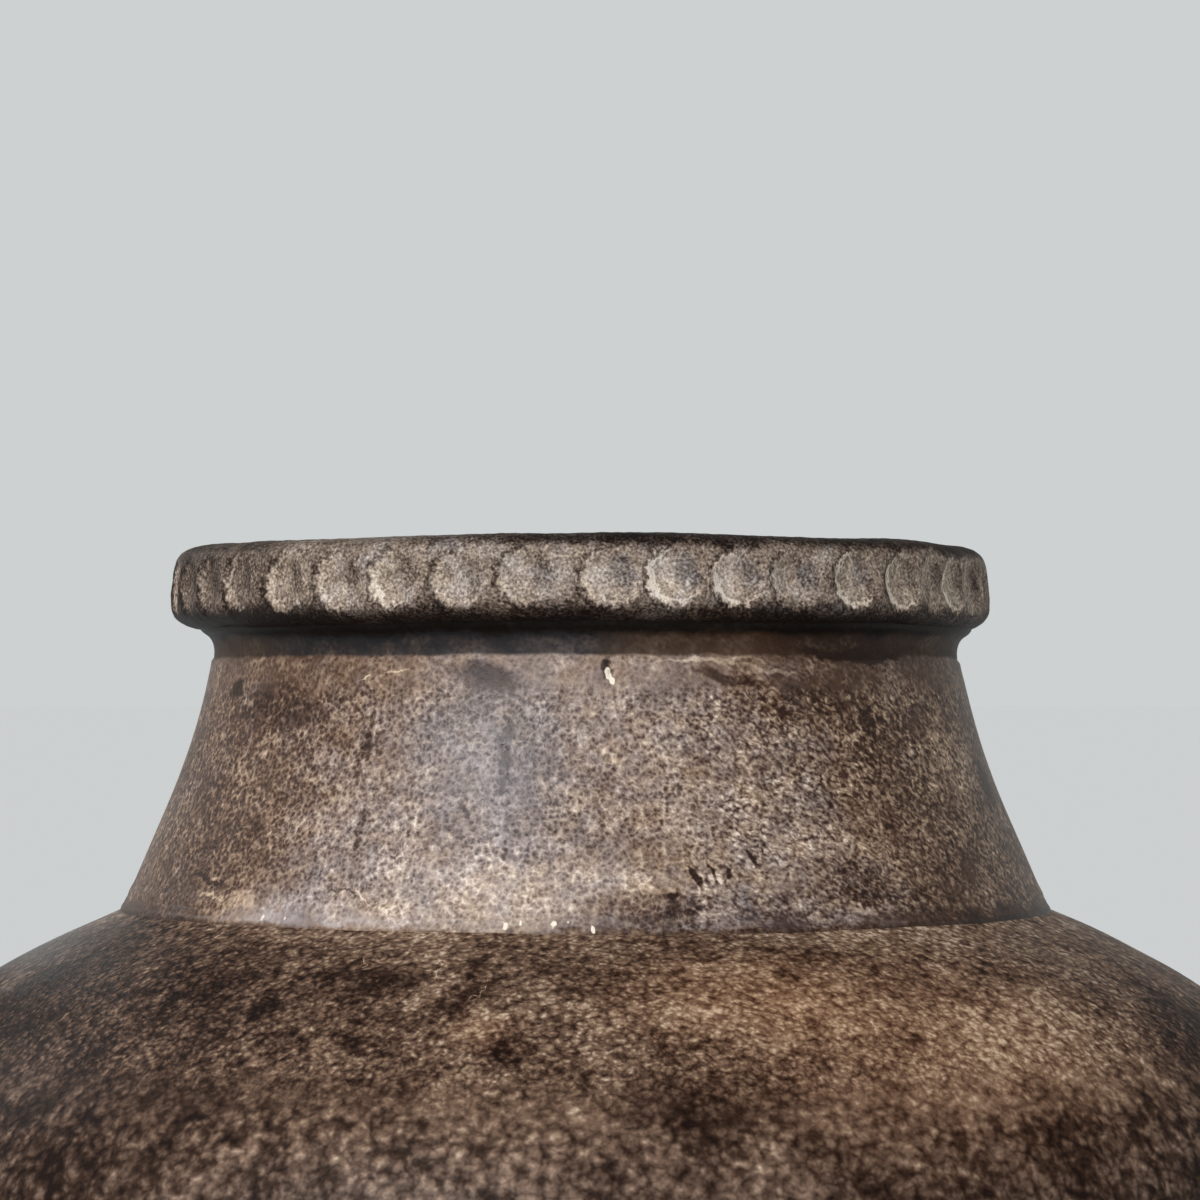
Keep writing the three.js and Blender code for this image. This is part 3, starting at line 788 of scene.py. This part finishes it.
def rim_glaze():
    """The same glaze where hands wore it most: grey-brown and gritty, pale in the prints, with a cream
    crescent at each print's left edge, browner at the rim's far ends, and nearly black where dirt stays
    along the top. Towards the band's underside it darkens to near-black, painted shade over grime, and each
    print has painted shade in its upper right, cooled by a painted reflection right of the front, and a dark
    ring of painted shade just outside its left edge."""
    material, tree = new_material("handled_iron_glaze")
    place = add(tree, "TexCoord", output="Object")
    stored = add(tree, "UVMap", {"uv_map": "print_place"})
    paleness = add(tree, "Attribute", {"attribute_name": "print_paleness"}, output="Fac")
    spot = wandered(tree, stored, place, 1.9, (0.66, 0.66, 0))

    def ring(centre, inner, outer):
        """1 within `inner` print radii of a centre, fading to 0 at `outer`."""
        off = add(tree, "VectorMath", {"operation": "SUBTRACT"}, {0: spot, 1: (*centre, 0)})
        far = add(tree, "VectorMath", {"operation": "LENGTH"}, {0: off}, output="Value")
        return add(tree, "MapRange", EASED, {"Value": far, "From Min": outer, "From Max": inner})

    bowl = ring((0, 0), 0.72, 1.02)
    clear = weigh(tree, 1.0, (ring((0.13, 0.08), 0.78, 0.9), -1))
    crescent = weigh(tree, 0.0, (ring((0, 0), 0.88, 1.0), clear))
    crescent = weigh(tree, 0.0, (crescent, paleness))
    worn = weigh(tree, 0.0, (ring((-0.15, -0.1), 0.5, 0.95), paleness))
    # Painted shade: each print's hollow is darker in its upper right.
    shaded = weigh(tree, 0.0, (ring((0.62, 0.3), 0.3, 0.85), bowl))
    # Painted shade: a dark ring just outside each print's left edge, in the groove left by the leaning
    # fingertip.
    groove_shade = weigh(tree, ring((-0.12, 0), 1.0, 1.12), (ring((0, 0), 0.98, 1.08), -1))
    groove_shade = add(tree, "Math", {"operation": "MAXIMUM"}, {0: groove_shade, 1: 0})

    loose = ragged(tree, ragged(tree, place, 18, 6), 3, 3)
    left = along(tree, place, "X", -50, -115)
    right = along(tree, place, "X", 60, 110)
    # Painted shade and grime: much darker towards the band's underside, near-black in the corner under it.
    under = weigh(tree, 1.0, (above(tree, loose, 79.5, 9), -1))
    top = above(tree, loose, 99.5, 3.5)
    dirt = weigh(tree, -0.08, (along(tree, loose, "X", -70, 10), -0.34))
    layers = ((2.2, 0.52, 3, 0.8), (0.8, 0.8, 1, 0), (9, 0.36, 2, 0), (50, 0.25, 2, 0))
    level = weigh(
        tree, grain(tree, place, layers, 0.55), (bowl, 0.04), (worn, 0.09), (crescent, 0.34),
        (shaded, -0.15), (groove_shade, -0.17), (under, -0.52), (top, dirt), (left, -0.25), (right, -0.03),
    )
    warm = add(tree, "ValToRGB", None, {0: level}, stops=HANDLED_WARM)
    cool = add(tree, "ValToRGB", None, {0: level}, stops=HANDLED_COOL)
    # Painted shade and reflection: that shaded upper right is tinted a cooler grey on the prints right of
    # the front.
    soot_and_shade_share = weigh(tree, 0.0, (shaded, along(tree, loose, "X", -35, 10)))
    grey = weigh(
        tree, grain(tree, loose, ((9, 2, 2, 0),), 0.15), (soot_and_shade_share, 0.4), (left, -0.6), (right, -0.8),
    )
    colour = mix_colour(tree, grey, warm, cool)
    relief = grain(tree, place, ((0.7, 0.3, 1, 0),), level)
    roughness = spread(tree, level, 0.55, 0.65)
    fire(tree, colour, roughness, relief, 0.3 * MM, gloss=0.1, wet=spread(tree, level, 0, 0.25))
    return material


def inside_slip():
    """The wash swilled round the inside: thin, matt and brown, streaked round by the throwing."""
    material, tree = new_material("brown_slip_wash")
    place = add(tree, "TexCoord", output="Object")
    rings = add(tree, "Mapping", None, {"Vector": place, "Scale": (1, 1, 9)})
    level = grain(tree, rings, ((34, 0.5, 2, 0),), 0.5)
    level = grain(tree, place, ((16, 0.3, 2, 0), (2, 0.4, 2, 0)), level)
    colour = add(tree, "ValToRGB", None, {0: level}, stops=(
        (0.15, "#30221a"), (0.9, "#8d7057"), (0.45, "#4f3929"), (0.7, "#6d533f"),
    ))
    fire(tree, colour, spread(tree, level, 0.65, 0.8), level, 0.6 * MM)
    return material


def bare_clay():
    """Fired red earthenware with nothing on it: matt, open-grained, sandy, paler where it was wiped."""
    material, tree = new_material("bare_red_earthenware")
    place = add(tree, "TexCoord", output="Object")
    level = grain(tree, place, ((30, 0.5, 2, 0), (5, 0.4, 3, 0), (1.2, 0.5, 2, 0)), 0.5)
    colour = add(tree, "ValToRGB", None, {0: level}, stops=CLAY)
    relief = grain(tree, place, ((0.9, 0.5, 2, 0),), level)
    fire(tree, colour, spread(tree, level, 0.75, 0.92), relief, 0.2 * MM)
    return material


def wash_inside(piece, slip):
    """Gives the faces that look at the jar's axis their own material."""
    piece.data.materials.append(slip)
    edit(piece)
    bpy.context.tool_settings.mesh_select_mode = (False, False, True)
    mesh = bmesh.from_edit_mesh(piece.data)
    bpy.ops.mesh.select_all(action="DESELECT")
    for face in mesh.faces:
        middle = face.calc_center_median()
        face.select = face.normal.xy.dot(middle.xy.normalized()) < -0.15 and middle.z < RIM_TOP - LIP
    piece.active_material_index = 1
    bpy.ops.object.material_slot_assign()
    leave_edit()


def make_camera():
    bpy.ops.object.camera_add()
    camera = bpy.context.object
    camera.data.sensor_width = 36
    camera.data.lens = camera.data.sensor_width * FOCAL_PIXELS / PHOTO_SIZE
    camera.data.clip_end = CLIP_END
    tilt = math.atan((HORIZON_ROW - PHOTO_SIZE / 2) / FOCAL_PIXELS)
    side = (PHOTO_SIZE / 2 - AXIS_COLUMN) / FOCAL_PIXELS * CAMERA_DISTANCE
    camera.location = (side, -CAMERA_DISTANCE, CAMERA_LEVEL)
    camera.rotation_euler = (math.pi / 2 + tilt, 0, 0)
    bpy.context.scene.camera = camera


def make_floor_paper():
    """A pale studio floor that runs on to the horizon, where it meets the sky in one tone."""
    deselect()
    bpy.ops.mesh.primitive_circle_add(vertices=96, radius=FLOOR_REACH, fill_type="NGON")
    floor = bpy.context.object
    floor.name = "studio_floor"
    material, tree = new_material("pale_studio_floor")
    tree.nodes["Principled BSDF"].inputs["Base Color"].default_value = linear("#e7e9e9")
    tree.nodes["Principled BSDF"].inputs["Roughness"].default_value = 1
    tree.nodes["Principled BSDF"].inputs["Specular IOR Level"].default_value = 0
    floor.data.materials.append(material)


def make_sky():
    """Soft light from a studio's pale walls, with a dimmer ceiling."""
    world = bpy.context.scene.world or bpy.data.worlds.new("studio")
    bpy.context.scene.world = world
    world.use_nodes = True
    tree = world.node_tree
    way = add(tree, "TexCoord", output="Generated")
    height = add(tree, "SeparateXYZ", None, {0: way}, output="Z")
    strength = add(tree, "MapRange", EASED, {
        "Value": height, "From Min": 0.17, "From Max": 0.6, "To Min": 1, "To Max": 0.25,
    })
    background = tree.nodes["Background"]
    background.inputs["Color"].default_value = linear("#cdd1d1")
    tree.links.new(strength, background.inputs["Strength"])


def lamp(name, kind, azimuth, elevation, aim, distance, energy):
    """Hangs a light so far from its aim, in a direction given in degrees, and turns it towards the aim."""
    way = around(azimuth, math.cos(math.radians(elevation)), math.sin(math.radians(elevation)))
    bpy.ops.object.light_add(type=kind, location=aim + way * distance)
    light = bpy.context.object
    light.name = name
    light.data.energy = energy
    light.rotation_mode = "QUATERNION"
    light.rotation_quaternion = way.to_track_quat("Z", "Y")
    return light.data


def window_light(name, azimuth, elevation, width, strength):
    """Daylight from a far window, as wide as stated in degrees, on the jar and the whole floor alike."""
    light = lamp(name, "SUN", azimuth, elevation, Vector((0, 0, 0)), 3, strength)
    light.angle = math.radians(width)


def softbox(name, azimuth, elevation, distance, size, watts):
    """A round soft light, aimed at the neck."""
    light = lamp(name, "AREA", azimuth, elevation, Vector((0, 0, RIM_TOP - 60 * MM)), distance, watts)
    light.shape = "DISK"
    light.size = size


make_camera()
make_floor_paper()
make_sky()
window_light("key_window", azimuth=-30, elevation=34, width=35, strength=3)
softbox("edge_softbox", azimuth=-125, elevation=33, distance=2.2, size=0.8, watts=6)

NECK_GLAZE = neck_glaze()
BELLY_GLAZE = belly_glaze()
BARE_CLAY = bare_clay()
PIECES = {
    "rim_band": (make_rim, rim_glaze(), "glazed_rim"),
    "neck": (make_neck, NECK_GLAZE, "glazed_neck"),
    "neck_seam_bead": (make_seam_bead, NECK_GLAZE, "glazed_neck"),
    "upper_belly": (make_shoulder, BELLY_GLAZE, "glazed_body"),
    "lower_belly": (make_bowl, BELLY_GLAZE, "glazed_body"),
    "foot_ring": (make_foot_ring, BARE_CLAY, "bare_clay"),
    "floor_slab": (make_floor, BARE_CLAY, "bare_clay"),
    "floor_coil": (make_floor_coil, BARE_CLAY, "bare_clay"),
    "belly_coil": (make_belly_coil, BARE_CLAY, "bare_clay"),
}
INSIDE_SLIP = inside_slip()
for node, (make, material, slot) in PIECES.items():
    piece = make()
    piece.data.materials.append(material)
    if node in ("rim_band", "neck", "upper_belly", "lower_belly"):
        wash_inside(piece, INSIDE_SLIP)
    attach(piece, "root")
    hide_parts(node)

bpy.context.scene.view_settings.view_transform = "Standard"
